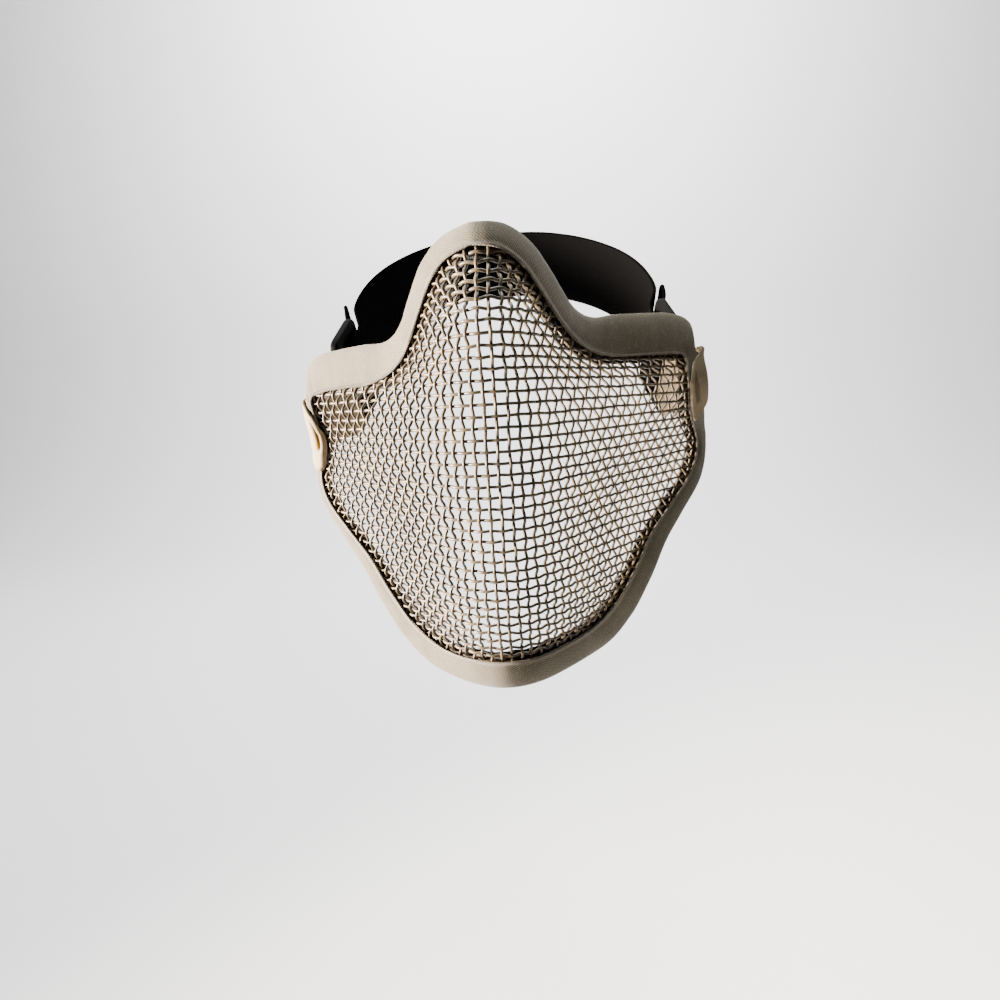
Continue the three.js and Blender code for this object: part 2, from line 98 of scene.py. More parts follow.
SLIDER_BAR_X = 74.5
SLIDER = dict(length=25, thickness=3.6, bar=4.4, slot=5.9, turn=-0.15)
SLIDER_EDGE = 1.4                        # rounding of the slider's edges
ASKEW, ASKEW_ABOUT = math.radians(2.7), -70    # the edge is cut askew to the net, turned about this height

# Sections of the pressed panel: height; front, the depth of its middle ridge; tip, how round the ridge is;
# side, slope of the walls beside it; cheek, slope of the cheeks; start, half width where the cheek starts.
PANEL_SECTIONS = np.array([
    (-158, 10, 26, 1.6, 0.3, 36), (-140, 0.5, 26, 1.65, 0.5, 40), (-115, -9, 35, 1.9, 0.9, 43),
    (-90, -14, 39, 2.4, 1.2, 41.5), (-65, -16, 42, 2.1, 1.55, 42.5), (-45, -15.5, 32, 2.4, 0.95, 38.5),
    (-28, -22, 24, 3.9, 0.9, 29), (-16, -14.5, 17.5, 2.75, 0.72, 29), (-6, -8, 14.5, 2.2, 0.6, 31),
    (8, 4, 13, 1.85, 0.5, 33),
], float)

# The bound edge from the bridge of the nose to the chin: half width and height of the inner edge of the
# tape, and of its outer fold; how far it flares out on the right, and curls to the face on the left.
EDGE_SECTIONS = np.array([
    (0, -6, 0, 2.8, 0, 0), (8, -8, 10.5, 1.5, 0, 0), (13.5, -12.5, 18, -4, 0, 0),
    (18.5, -20.5, 23.5, -12.5, 0, 0), (25.5, -30.5, 29.5, -21.5, 0, 0), (33.5, -37, 37, -25, 0.3, 0),
    (45, -39.8, 47, -24.2, 0.6, 0), (60, -39.8, 60, -23.8, 0.6, 0.3), (70.5, -40, 72, -24, 0.6, 1),
    (75, -42, 80, -27.5, 0.6, 3), (75, -49, 81.5, -38, 0.6, 3.4), (76, -59, 85.5, -56, 0.9, 3.2),
    (78.5, -68.5, 88, -68, 2.4, 3.3), (79.5, -77, 86.5, -79, 3.8, 4), (75, -86, 80.5, -91, 3.3, 4.3),
    (64.5, -96.5, 70.5, -102, 2, 3.8), (54, -107, 61, -113, 1, 2.7), (45.5, -120.5, 54, -127, 0, 1.3),
    (38.5, -131, 46, -141, -0.6, 0.4), (28, -137, 34, -150.5, -0.4, 0), (12, -138, 14, -151.8, 0, 0),
    (0, -138, 0, -152, 0, 0),
], float)
BACK_TOP = 10                            # station at the top of the back
LAST_SECTION = len(EDGE_SECTIONS) - 1
LOOP = 2 * LAST_SECTION                  # stations round the whole edge, right side first

# The front leaf of each tab, from its lower end (share 0) to its upper end (share 1): share, stations
# below the back's top at the tape's inner edge and at its outer fold, start, height of the lip there,
# swelling, height past the fold, and height halfway to the slider.
TAB_COLUMNS = ("share", "inner", "outer", "start", "lip", "puff", "stand", "behind")
TAB_SECTIONS = {
    "right": [
        (0, 1.85, 0.9, 0.12, 2.4, 0, 0.9, 1.2), (0.375, 1.2, 0.6, 0.1, 2.4, 0, 0.9, 1.2),
        (0.75, 0.35, 0.25, 0.08, 2.4, 0.1, 2.4, 2.2), (0.875, 0.1, 0.13, 0.12, 3.0, 0.1, 3.2, 2.6),
        (0.95, -0.02, 0.08, 0.25, 3.1, 0.1, 2.8, 2.4), (1, -0.08, 0.08, 0.4, 3.1, 0, 1.4, 2.0),
    ],
    "left": [
        (0, 2.62, 1.62, 0.25, 1.6, 0, 0.4, 1.6), (0.06, 2.45, 1.56, -0.05, 1.6, 0, 0.9, 2.0),
        (0.15, 2.2, 1.45, -0.22, 1.6, 0, 1.5, 2.3),
        (0.375, 1.6, 1.1, -0.3, 1.8, 0.8, 3.0, 2.6), (0.75, 0.5, 0.5, -0.26, 1.8, 0.3, 2.4, 2.6),
        (0.875, 0.15, 0.35, -0.06, 2.8, 0, 2.2, 3.0), (1, -0.1, 0.2, 0.1, 3.0, 0, 1.6, 2.6),
    ],
}

# The fold pressed into each tab near its inner edge: share of its height, half height, place round the tab,
# half width, depth, and how strongly the painted shade and warm glow inside it show.
TAB_FOLDS = {"right": (0.62, 0.3, 0.035, 0.022, 0.8, 0.5), "left": (0.64, 0.27, 0.05, 0.03, 1.9, 1.0)}

# The strap round the back of the head: half width and distance back from the slider's front bar.
STRAP_ROUTE = [(73, 40), (72, 56), (65, 77), (48, 97), (25, 109.5), (0, 113)]
TAIL_ROUTE = {"right": [(76.4, 34), (77.5, 46)], "left": [(76.4, 34), (79.5, 46)]}


# ------------------------------------------------------------------ curves and the pressed surface
class Smooth:
    """Smooth curve through the rows of a table with uneven steps, straight beyond its ends."""

    def __init__(self, keys, values):
        self.keys, self.values = np.asarray(keys, float), np.asarray(values, float)
        steps = np.diff(self.keys)
        slopes = np.diff(self.values) / steps
        inner = (slopes[:-1] * steps[1:] + slopes[1:] * steps[:-1]) / (steps[:-1] + steps[1:])
        self.tangents = np.concatenate([slopes[:1], inner, slopes[-1:]])

    def __call__(self, where):
        where = np.asarray(where, float)
        held = np.clip(where, self.keys[0], self.keys[-1])
        i = np.clip(np.searchsorted(self.keys, held) - 1, 0, len(self.keys) - 2)
        step = self.keys[i + 1] - self.keys[i]
        t = (held - self.keys[i]) / step
        value = ((2 * t ** 3 - 3 * t ** 2 + 1) * self.values[i]
                 + (t ** 3 - 2 * t ** 2 + t) * step * self.tangents[i]
                 + (3 * t ** 2 - 2 * t ** 3) * self.values[i + 1]
                 + (t ** 3 - t ** 2) * step * self.tangents[i + 1])
        before, after = np.minimum(where - self.keys[0], 0), np.maximum(where - self.keys[-1], 0)
        return value + before * self.tangents[0] + after * self.tangents[-1]


section = [Smooth(PANEL_SECTIONS[:, 0], PANEL_SECTIONS[:, c]) for c in range(1, 6)]
edge_columns = [Smooth(np.arange(LAST_SECTION + 1), EDGE_SECTIONS[:, c]) for c in range(6)]


def ramp(u):
    """Rises from 0 to u, with a soft bend at 0."""
    return 0.5 * (u + np.hypot(u, CHEEK_BLEND))


def depth(x, z):
    """Depth (y) of the net's middle surface at a half width and height."""
    front, tip, side, cheek, start = (column(z) for column in section)
    a = np.abs(x)
    return front + side * (np.hypot(a, tip) - tip) + (cheek - side) * (ramp(a - start) - ramp(-start))


def unit(vectors):
    return vectors / np.linalg.norm(vectors, axis=-1, keepdims=True)


def surface_normal(x, z):
    """Direction square to the net's middle surface, towards the front."""
    h = 0.5
    along_x = (depth(x + h, z) - depth(x - h, z)) / (2 * h)
    along_z = (depth(x, z + h) - depth(x, z - h)) / (2 * h)
    return unit(np.stack([along_x, -np.ones_like(along_x), along_z], -1))


def surface_point(x, z, proud=0.0):
    """Point in front of the middle surface of the net, square to it, in millimetres."""
    x, z = np.broadcast_arrays(np.asarray(x, float), np.asarray(z, float))
    return np.stack([x, depth(x, z), z], -1) + surface_normal(x, z) * np.asarray(proud)[..., None]


def half_widths(z, lengths):
    """Half widths reached by lengths measured along the section at a height from the centre line."""
    x = np.arange(0, 130, FINE_STEP)
    y = depth(x, np.full_like(x, z))
    run = np.concatenate([[0], np.cumsum(np.hypot(np.diff(x), np.diff(y)))])
    return np.sign(lengths) * np.interp(np.abs(lengths), run, x)


profile_z = np.arange(60, -230, -FINE_STEP)
profile_steps = np.hypot(FINE_STEP, np.diff(depth(np.zeros_like(profile_z), profile_z)))
profile_run = np.concatenate([[0], np.cumsum(profile_steps)])


def height_of(count):
    """Height of a wire, or of a place between wires, by its count down the centre line."""
    start = np.interp(-DATUM_HEIGHT, -profile_z, profile_run)
    return np.interp(start + (np.asarray(count, float) - DATUM_WIRE) * WIRE_PITCH, profile_run, profile_z)


def edge_place(station):
    """Side of the mask, 1 right and -1 left, and place in the table, at a station round the edge."""
    folded = np.mod(np.asarray(station, float), LOOP)
    left = folded > LAST_SECTION
    return np.where(left, -1, 1), np.where(left, LOOP - folded, folded)


def edge_point(station, share):
    """Half width and height on the tape: share 0 is its inner edge, 1 its outer fold."""
    station, share = np.broadcast_arrays(np.asarray(station, float), np.asarray(share, float))
    side, at = edge_place(station)
    in_x, in_z, out_x, out_z, flare, _ = (column(at) for column in edge_columns)
    over_x, over_z = out_x - in_x, out_z - in_z
    reach = share + np.where(side > 0, flare / np.hypot(over_x, over_z), 0)
    x, z = side * (in_x + over_x * reach), in_z + over_z * reach - ASKEW_ABOUT
    c, s = math.cos(ASKEW), math.sin(ASKEW)
    return x * c - z * s, x * s + z * c + ASKEW_ABOUT


def tape_point(station, share, proud):
    """Point of the bound edge at a height over its middle surface, in millimetres."""
    side, at = edge_place(station)
    x, z = edge_point(station, share)
    left_curl = edge_columns[5]
    curl = np.where(side < 0, left_curl(at), 0) * np.maximum(share, 0) ** 2
    return surface_point(x, z, proud - curl)


def inside(x, z, share):
    """Whether points lie within the edge's outline at a share of the tape."""
    ring_x, ring_z = edge_point(np.arange(0, LOOP, 0.25), share)
    within = np.zeros(np.shape(x), bool)
    for i in range(len(ring_x)):
        ax, az, bx, bz = ring_x[i], ring_z[i], ring_x[i - 1], ring_z[i - 1]
        if az != bz:
            within ^= ((az > z) != (bz > z)) & (x < (bx - ax) * (z - az) / (bz - az) + ax)
    return within


# ------------------------------------------------------------------ materials
class Value:
    """A shader socket in an expression; each operation adds its Math node."""

    def __init__(self, finish, socket):
        self.finish, self.socket = finish, socket

    def math(self, operation, *others):
        return self.finish.node("ShaderNodeMath", {"operation": operation}, [self, *others]).out(0)

    def __add__(self, other):
        return self.math("ADD", other)

    def __mul__(self, other):
        return self.math("MULTIPLY", other)

    def __sub__(self, other):
        return self.math("SUBTRACT", other)

    def __rsub__(self, other):
        return self.finish.node("ShaderNodeMath", {"operation": "SUBTRACT"}, [other, self]).out(0)

    def __truediv__(self, other):
        return self.math("DIVIDE", other)

    def __pow__(self, other):
        return self.math("POWER", other)

    __radd__, __rmul__ = __add__, __mul__

    def sine(self):
        return self.math("SINE")

    def floor(self):
        return self.math("FLOOR")

    def size(self):
        return self.math("ABSOLUTE")

    def within(self, low, high):
        """Rises smoothly from 0 at the low value to 1 at the high one."""
        return self.finish.node("ShaderNodeMapRange", {"interpolation_type": "SMOOTHSTEP", "clamp": True},
                                {"Value": self, "From Min": low, "From Max": high}).out("Result")


class Made:
    """A node of a finish, whose outputs are taken as values."""

    def __init__(self, finish, node):
        self.finish, self.node = finish, node

    def out(self, name):
        return Value(self.finish, self.node.outputs[name])


class Finish:
    """One material and its nodes."""

    def __init__(self, name):
        self.material = bpy.data.materials.new(name)
        self.material.use_nodes = True
        self.tree = self.material.node_tree
        self.tree.nodes.clear()

    def node(self, kind, settings=None, sockets=None):
        """Any node, from its type, its settings, and the values or links of its sockets."""
        made = self.tree.nodes.new(kind)
        for name, setting in (settings or {}).items():
            setattr(made, name, setting)
        pairs = sockets.items() if isinstance(sockets, dict) else enumerate(sockets or [])
        for name, given in pairs:
            socket = made.inputs[name]
            if isinstance(given, Value):
                self.tree.links.new(given.socket, socket)
            elif isinstance(given, tuple) and len(given) == 3 and socket.type == "RGBA":
                socket.default_value = (*given, 1)
            else:
                socket.default_value = given
        return Made(self, made)

    def blend(self, factor, first, second, mode="MIX"):
        """Colour mix; the Mix node's colour sockets have no unique names, so they go by position."""
        return self.node("ShaderNodeMix", {"data_type": "RGBA", "blend_type": mode},
                         {0: factor, 6: first, 7: second}).out(2)

    def object_place(self):
        return self.node("ShaderNodeTexCoord").out("Object")

    def noise(self, place, scale, detail=2.0, roughness=0.5):
        return self.node("ShaderNodeTexNoise", None,
                         {"Vector": place, "Scale": scale, "Detail": detail, "Roughness": roughness}).out(0)

    def cloth_place(self):
        """Distances along and across the cloth, in millimetres, from its own map."""
        map_place = self.node("ShaderNodeUVMap", {"uv_map": "cloth"}).out(0)
        parts = self.node("ShaderNodeSeparateXYZ", None, [map_place])
        return parts.out("X"), parts.out("Y")

    def surface(self, height=None, strength=0.5, distance=0.0003, **sockets):
        """Closes the tree with a shader; height feeds a Bump node."""
        names = {name.replace("_", " "): given for name, given in sockets.items()}
        if height is not None:
            names["Normal"] = self.node("ShaderNodeBump", None, {
                "Height": height, "Strength": strength, "Distance": distance}).out("Normal")
        shader = self.node("ShaderNodeBsdfPrincipled", None, names)
        self.node("ShaderNodeOutputMaterial", None, [shader.out("BSDF")])
        return self.material


def shade(red, green, blue):
    """Colour from the 0 to 255 values of a paint chart."""
    return tuple(((c / 255 + 0.055) / 1.055) ** 2.4 if c > 10 else c / 3294 for c in (red, green, blue))


def twill_finish(name, light, dark, rib=0.8, slant=1.19, relief=1.0, fleck=0.12, sheen=0.08, gloss=0.1,
                 fold_painted_shade=None):
    """Twill tape: slanting ribs broken into short floats, with worn threads and soiled patches.

    rib is the spacing of the ribs, slant their slope, relief how deep they are, fleck how many threads are
    worn pale, and the last argument the colour painted inside a fold: painted shade with a warm glow.
    """
    f = Finish(name)
    along, across = f.cloth_place()
    place = f.object_place()
    sway = f.noise(place, 160.0, 2.0) * 0.9
    rib_count = (along + across * slant) / (rib * math.hypot(1, slant)) + sway
    ridge = (rib_count * math.pi).sine().size()
    float_length = 1.15 * math.hypot(1, slant)
    float_count = (along * slant - across) / float_length + rib_count.floor() * 0.37
    thread = (float_count * math.pi).sine().size()
    weave = ridge ** 0.6 * (thread ** 0.4 * 0.55 + 0.45)
    fuzz = f.noise(place, 3000.0, 3.0, 0.7)
    patch = f.noise(place, 70.0, 4.0, 0.6)
    worn = f.noise(place, 1100.0, 2.0, 0.6).within(0.52, 0.78) * fleck
    # Painted shade: the colour goes from the dark one in the hollows of the weave to the light one on its
    # ridges.
    body = f.blend(weave.within(0.15, 0.85), dark, light)
    soiled = f.blend(1.0, body, (0.66, 0.7, 0.62), "MULTIPLY")
    body = f.blend(patch.within(0.35, 0.7) * 0.45, body, soiled)
    body = f.blend(worn, body, shade(160, 154, 140))
    # Painted shade with a warm glow inside a tab's fold, as far as a point attribute of the tab gives it.
    if fold_painted_shade:
        painted_shade_in_fold = f.node("ShaderNodeAttribute", {"attribute_name": "fold_painted_shade"}).out("Fac")
        body = f.blend(painted_shade_in_fold, body, fold_painted_shade)
    height = weave + fuzz * 0.5
    return f.surface(height, 0.6 * relief, 0.00016, Base_Color=body, Roughness=0.92 - weave * 0.08,
                     Sheen_Weight=sheen, Sheen_Roughness=0.5, Specular_IOR_Level=gloss)


def wire_finish():
    """Painted steel wire: a thin brown-grey coat, grimy, and rubbed paler in patches."""
    f = Finish("painted_steel_wire")
    place = f.object_place()
    grime = f.noise(place, 260.0, 4.0, 0.6)
    grain = f.noise(place, 2400.0, 2.0, 0.6)
    rubbed = f.noise(place, 90.0, 3.0, 0.6).within(0.45, 0.7)
    colour = f.blend(grime.within(0.35, 0.7), shade(48, 40, 27), shade(76, 63, 43))
    colour = f.blend(rubbed * 0.4, colour, shade(108, 91, 62))
    return f.surface(grain, 0.15, 0.00005, Base_Color=colour, Metallic=0.1,
                     Roughness=0.38 + grime * 0.15, Specular_IOR_Level=0.3,
                     Coat_Weight=0.08, Coat_Roughness=0.35)


def elastic_finish():
    """Black woven elastic: fine ribs along it, crossed by the weft."""
    f = Finish("black_elastic")
    along, across = f.cloth_place()
    place = f.object_place()
    rib = (across * (math.pi / 1.15)).sine().size()
    weft = (along * (math.pi / 0.62)).sine().size()
    fuzz = f.noise(place, 2200.0, 2.0, 0.6)
    weave = rib ** 0.6 * 0.7 + weft * 0.3
    # Painted shade: the black is darker still in the hollows of the ribs and the weft.
    colour = f.blend(weave.within(0.2, 0.9), shade(2, 2, 2), shade(8, 8, 8))
    return f.surface(weave + fuzz * 0.25, 0.6, 0.0002, Base_Color=colour, Roughness=0.75 + fuzz * 0.2,
                     Specular_IOR_Level=0.0)


def plastic_finish():
    """Moulded black plastic with fine handling marks."""
    f = Finish("black_plastic")
    place = f.object_place()
    cloud = f.noise(place, 120.0, 3.0, 0.6)
    grain = f.noise(place, 1600.0, 2.0, 0.5)
    colour = f.blend(cloud, shade(3, 3, 3), shade(8, 8, 8))
    return f.surface(grain, 0.12, 0.0001, Base_Color=colour, Roughness=0.5 + cloud * 0.14,
                     Specular_IOR_Level=0.02)


def thread_finish():
    """Sewing thread, two plies twisted."""
    f = Finish("sewing_thread")
    place = f.object_place()
    ply = f.noise(place, 3200.0, 2.0, 0.6)
    colour = f.blend(ply, shade(74, 67, 54), shade(98, 90, 74))
    return f.surface(ply, 0.4, 0.00008, Base_Color=colour, Roughness=0.75, Sheen_Weight=0.2)


def floor_finish():
    """Pale, matt paper."""
    f = Finish("pale_floor")
    mottle = f.noise(f.object_place(), 3.0, 2.0)
    colour = f.blend(mottle, (0.86, 0.86, 0.86), (0.88, 0.88, 0.88))
    return f.surface(None, Base_Color=colour, Roughness=0.9)


TAPE = twill_finish("twill_tape", shade(86, 78, 63), shade(40, 36, 27))
# One cloth: the left tab is painted lighter for the window light on it, the right darker for its shade.
TAB = {
    "right": twill_finish("twill_tab_right_painted_shade", shade(106, 94, 77), shade(100, 88, 72), relief=0.1,
                          sheen=0.0, gloss=0.0, fold_painted_shade=shade(34, 25, 12)),
    "left": twill_finish("twill_tab_left_painted_light", shade(124, 110, 88), shade(119, 105, 83), relief=0.06,
                         sheen=0.0, gloss=0.0, fold_painted_shade=shade(40, 27, 2)),
}
LINING = twill_finish("dark_lining", shade(30, 31, 31), shade(12, 12, 13), rib=0.6, slant=0.2, fleck=0.0,
                      sheen=0.0)
STEEL = wire_finish()
ELASTIC = elastic_finish()
PLASTIC = plastic_finish()
THREAD = thread_finish()


# ------------------------------------------------------------------ meshes
def piece_from(name, points, faces, material, replaced, maps):
    """Mesh object at the origin from points and faces; maps gives each corner's cloth place."""
    mesh = bpy.data.meshes.new(name)
    mesh.from_pydata((np.asarray(points, float) * MM).tolist(), [], [list(map(int, f)) for f in faces])
    mesh.uv_layers.new(name="cloth").data.foreach_set("uv", np.asarray(maps, float).ravel())
    mesh.polygons.foreach_set("use_smooth", [True] * len(mesh.polygons))
    mesh.materials.append(material)
    piece = placed(name, mesh)
    settle(piece, replaced)
    return piece


def settle(piece, replaced):
    """Ties a piece to the one body, and hides the solid that it dresses."""
    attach(piece, "root")
    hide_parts(replaced)


def lengths_along(points):
    """Running length over a row of points."""
    steps = np.linalg.norm(np.diff(points, axis=0), axis=-1)
    return np.concatenate([[0], np.cumsum(steps)])


def turn_outwards(piece):
    """Turns every face of a closed piece to face out."""
    work = bmesh.new()
    work.from_mesh(piece.data)
    bmesh.ops.recalc_face_normals(work, faces=work.faces)
    work.to_mesh(piece.data)
    work.free()


def loop_skin(rings, along, seam):
    """Faces and cloth places of a ring-shaped sweep with closed sections, measured across from the seam."""
    rows, n = rings.shape[:2]
    across = np.array([lengths_along(np.concatenate([ring, ring[:1]])) for ring in rings])
    across -= across[:, seam:seam + 1]
    faces, maps = [], []
    for r in range(rows):
        after = (r + 1) % rows
        for i in range(n):
            j = (i + 1) % n
            faces.append((r * n + i, r * n + j, after * n + j, after * n + i))
            maps += [(along[r], across[r, i]), (along[r], across[r, i + 1]),
                     (along[r + 1], across[after, i + 1]), (along[r + 1], across[after, i])]
    return faces, maps


def cloth_shell(name, grid, thickness, material, replaced):
    """A strip of cloth with rounded borders, from a grid of points over its middle surface."""
    edge_round = 0.7
    rows, cols = grid.shape[:2]
    down, over = np.gradient(grid, axis=0), np.gradient(grid, axis=1)
    normal = unit(np.cross(down, over))
    half = thickness / 2
    front, back = grid + normal * half, grid - normal * half
    border = [(0, c) for c in range(cols)] + [(r, cols - 1) for r in range(1, rows)]
    border += [(rows - 1, c) for c in range(cols - 2, -1, -1)] + [(r, 0) for r in range(rows - 2, 0, -1)]
    outward = np.zeros_like(grid)
    outward[0] -= unit(down[0])
    outward[-1] += unit(down[-1])
    outward[:, 0] -= unit(over[:, 0])
    outward[:, -1] += unit(over[:, -1])
    rim = np.array([grid[b] + outward[b] * half * edge_round for b in border])
    count = rows * cols
    points = np.concatenate([front.reshape(-1, 3), back.reshape(-1, 3), rim])
    u = lengths_along(grid[:, cols // 2])
    v = lengths_along(grid[rows // 2])
    place = np.array([(u[r], v[c]) for r in range(rows) for c in range(cols)])
    place = np.concatenate([place, place, [place[r * cols + c] for r, c in border]])
    faces = []
    for r in range(rows - 1):
        for c in range(cols - 1):
            a, b, d, e = r * cols + c, r * cols + c + 1, (r + 1) * cols + c + 1, (r + 1) * cols + c
            faces.append((a, e, d, b))
            faces.append((count + a, count + b, count + d, count + e))
    for i, (r, c) in enumerate(border):
        j = (i + 1) % len(border)
        a, b = r * cols + c, border[j][0] * cols + border[j][1]
        m, n = 2 * count + i, 2 * count + j
        faces.append((a, b, n, m))
        faces.append((m, n, count + b, count + a))
    maps = [place[i] for face in faces for i in face]
    piece = piece_from(name, points, faces, material, replaced, maps)
    turn_outwards(piece)
    return piece


def smooth_line(points, step=None, count=None):
    """Even points on a smooth curve through a row of points."""
    points = np.asarray(points, float)
    keys = lengths_along(points)
    curves = [Smooth(keys, points[:, axis]) for axis in range(points.shape[1])]
    dense = np.linspace(0, keys[-1], 40 * len(points))
    path = np.stack([curve(dense) for curve in curves], -1)
    run = lengths_along(path)
    total = count or max(2, int(round(run[-1] / step)) + 1)
    even = np.linspace(0, run[-1], total)
    return np.stack([np.interp(even, run, path[:, axis]) for axis in range(points.shape[1])], -1)


# ------------------------------------------------------------------ woven wire
CRIMP_STEPS = 6                          # points from one crossing of wires to the next
CRIMP_FLATNESS = 0.7
WIRE_SIDES = 8
WIRE_WANDER = 0.06                       # how far a wire may lie from its even place
SHORTEST_WIRE = 4                        # points, under which a wire's end isn't drawn


def crimp(phase):
    """Height of a wire over the middle surface, from -1 to 1: flat over each crossing, steep between."""
    return np.tanh(CRIMP_FLATNESS * np.cos(math.pi * phase)) / math.tanh(CRIMP_FLATNESS)


def wire_rows():
    """Middle lines of the wires across and down: half widths, heights and the swing of their crimp."""
    wander = random.Random(4)
    across, down = [], []
    fine = 1 / CRIMP_STEPS

    def stray(count, number, size, wave, phase):
        """How far one wire strays from its even place: a slow wave and a small shift."""
        bend, shift = [wander.uniform(-WIRE_WANDER, WIRE_WANDER) for _ in range(2)]
        return size * np.sin(count * wave + number * phase) * bend / WIRE_WANDER, shift

    for k in WIRES_ACROSS:
        count = np.arange(min(WIRES_DOWN), max(WIRES_DOWN) + fine / 2, fine)
        z = np.full_like(count, float(height_of(k)))
        x = half_widths(z[0], (count - 0.5) * WIRE_PITCH)
        bend, shift = stray(count, k, size=0.16, wave=0.9, phase=1.7)
        across.append((x, z + bend + shift, -crimp(count + k)))
    for j in WIRES_DOWN:
        count = np.arange(min(WIRES_ACROSS), max(WIRES_ACROSS) + fine / 2, fine)
        z = height_of(count)
        x = np.array([half_widths(h, np.array([(j - 0.5) * WIRE_PITCH]))[0] for h in z])
        bend, shift = stray(count, j, size=0.14, wave=0.8, phase=2.1)
        down.append((x + bend + shift, z, crimp(count + j)))
    return across, down


def wire_runs(rows, share):
    """The stretches of each wire that lie within the edge, as points, normals and heights."""
    runs = []
    for x, z, lift in rows:
        held = inside(x, z, share)
        starts = np.flatnonzero(held & ~np.concatenate([[False], held[:-1]]))
        ends = np.flatnonzero(held & ~np.concatenate([held[1:], [False]]))
        for a, b in zip(starts, ends):
            if b - a >= SHORTEST_WIRE:
                pick = slice(a, b + 1)
                place = x[pick], z[pick]
                runs.append((surface_point(*place), surface_normal(*place), lift[pick]))
    return runs


def new_tree(name, inputs):
    """Geometry nodes with named inputs: the tree, its input node and the identifiers of its inputs."""
    tree = bpy.data.node_groups.new(name, "GeometryNodeTree")
    face = tree.interface
    face.new_socket("Geometry", in_out="INPUT", socket_type="NodeSocketGeometry")
    ids = {}
    for label, kind in {**inputs, "Material": "NodeSocketMaterial"}.items():
        ids[label] = face.new_socket(label, in_out="INPUT", socket_type=kind).identifier
    face.new_socket("Geometry", in_out="OUTPUT", socket_type="NodeSocketGeometry")
    return tree, tree.nodes.new("NodeGroupInput"), ids


def close_tree(tree, given, shape):
    """Ends a tree: its instances made real, smooth and of the given material."""
    links = tree.links
    real, smooth, paint, result = (tree.nodes.new(kind) for kind in (
        "GeometryNodeRealizeInstances", "GeometryNodeSetShadeSmooth", "GeometryNodeSetMaterial",
        "NodeGroupOutput"))
    links.new(shape, real.inputs[0])
    links.new(real.outputs[0], smooth.inputs["Geometry"])
    links.new(smooth.outputs[0], paint.inputs["Geometry"])
    links.new(given.outputs["Material"], paint.inputs["Material"])
    links.new(paint.outputs[0], result.inputs[0])


def wire_tree():
    """Geometry nodes: lifts the middle lines by their crimp and sweeps a round wire along them."""
    tree, given, ids = new_tree("crimped_wire", {
        "Wire Radius": "NodeSocketFloat", "Crimp Height": "NodeSocketFloat", "Wire Sides": "NodeSocketInt"})
    nodes, links = tree.nodes, tree.links
    normal, lift = (nodes.new("GeometryNodeInputNamedAttribute") for _ in range(2))
    normal.data_type, lift.data_type = "FLOAT_VECTOR", "FLOAT"
    normal.inputs["Name"].default_value, lift.inputs["Name"].default_value = "square", "lift"
    height = nodes.new("ShaderNodeMath")
    height.operation = "MULTIPLY"
    links.new(lift.outputs["Attribute"], height.inputs[0])
    links.new(given.outputs["Crimp Height"], height.inputs[1])
    offset = nodes.new("ShaderNodeVectorMath")
    offset.operation = "SCALE"
    links.new(normal.outputs["Attribute"], offset.inputs[0])
    links.new(height.outputs[0], offset.inputs["Scale"])
    move, line = nodes.new("GeometryNodeSetPosition"), nodes.new("GeometryNodeMeshToCurve")
    links.new(given.outputs["Geometry"], move.inputs["Geometry"])
    links.new(offset.outputs[0], move.inputs["Offset"])
    links.new(move.outputs[0], line.inputs["Mesh"])
    ring, tube = nodes.new("GeometryNodeCurvePrimitiveCircle"), nodes.new("GeometryNodeCurveToMesh")
    links.new(given.outputs["Wire Radius"], ring.inputs["Radius"])
    links.new(given.outputs["Wire Sides"], ring.inputs["Resolution"])
    links.new(line.outputs[0], tube.inputs["Curve"])
    links.new(ring.outputs[0], tube.inputs["Profile Curve"])
    tube.inputs["Fill Caps"].default_value = True
    close_tree(tree, given, tube.outputs[0])
    return tree, ids


def made_plain(piece, name):
    """The evaluated result of a piece's modifiers as a plain mesh on a new object."""
    graph = bpy.context.evaluated_depsgraph_get()
    mesh = bpy.data.meshes.new_from_object(
        piece.evaluated_get(graph), preserve_all_data_layers=True, depsgraph=graph)
    bpy.data.objects.remove(piece)
    return placed(name, mesh)


def build_wires(name, runs, height, tree, ids):
    """One piece from the runs of the wires that lie one way."""
    points = np.concatenate([run[0] for run in runs]) * MM
    square = np.concatenate([run[1] for run in runs])
    lift = np.concatenate([run[2] for run in runs])
    edges, start = [], 0
    for run in runs:
        edges += [(start + i, start + i + 1) for i in range(len(run[0]) - 1)]
        start += len(run[0])
    mesh = bpy.data.meshes.new(name + "_lines")
    mesh.from_pydata(points.tolist(), edges, [])
    mesh.attributes.new("square", "FLOAT_VECTOR", "POINT").data.foreach_set("vector", square.ravel())
    mesh.attributes.new("lift", "FLOAT", "POINT").data.foreach_set("value", lift)
    lines = placed(name + "_lines", mesh)
    modifier = lines.modifiers.new("crimped_wire", "NODES")
    modifier.node_group = tree
    modifier[ids["Wire Radius"]] = WIRE_THICKNESS / 2 * MM
    modifier[ids["Crimp Height"]] = height * MM
    modifier[ids["Wire Sides"]] = WIRE_SIDES
    modifier[ids["Material"]] = STEEL
    settle(made_plain(lines, name), "mesh_panel")


def build_net():
    """The woven net, one piece for the wires across and one for those down."""
    across, down = wire_rows()
    tree, ids = wire_tree()
    build_wires("wires_across", wire_runs(across, WIRE_REACH), CRIMP_ACROSS, tree, ids)
    build_wires("wires_down", wire_runs(down, WIRE_REACH), CRIMP_DOWN, tree, ids)


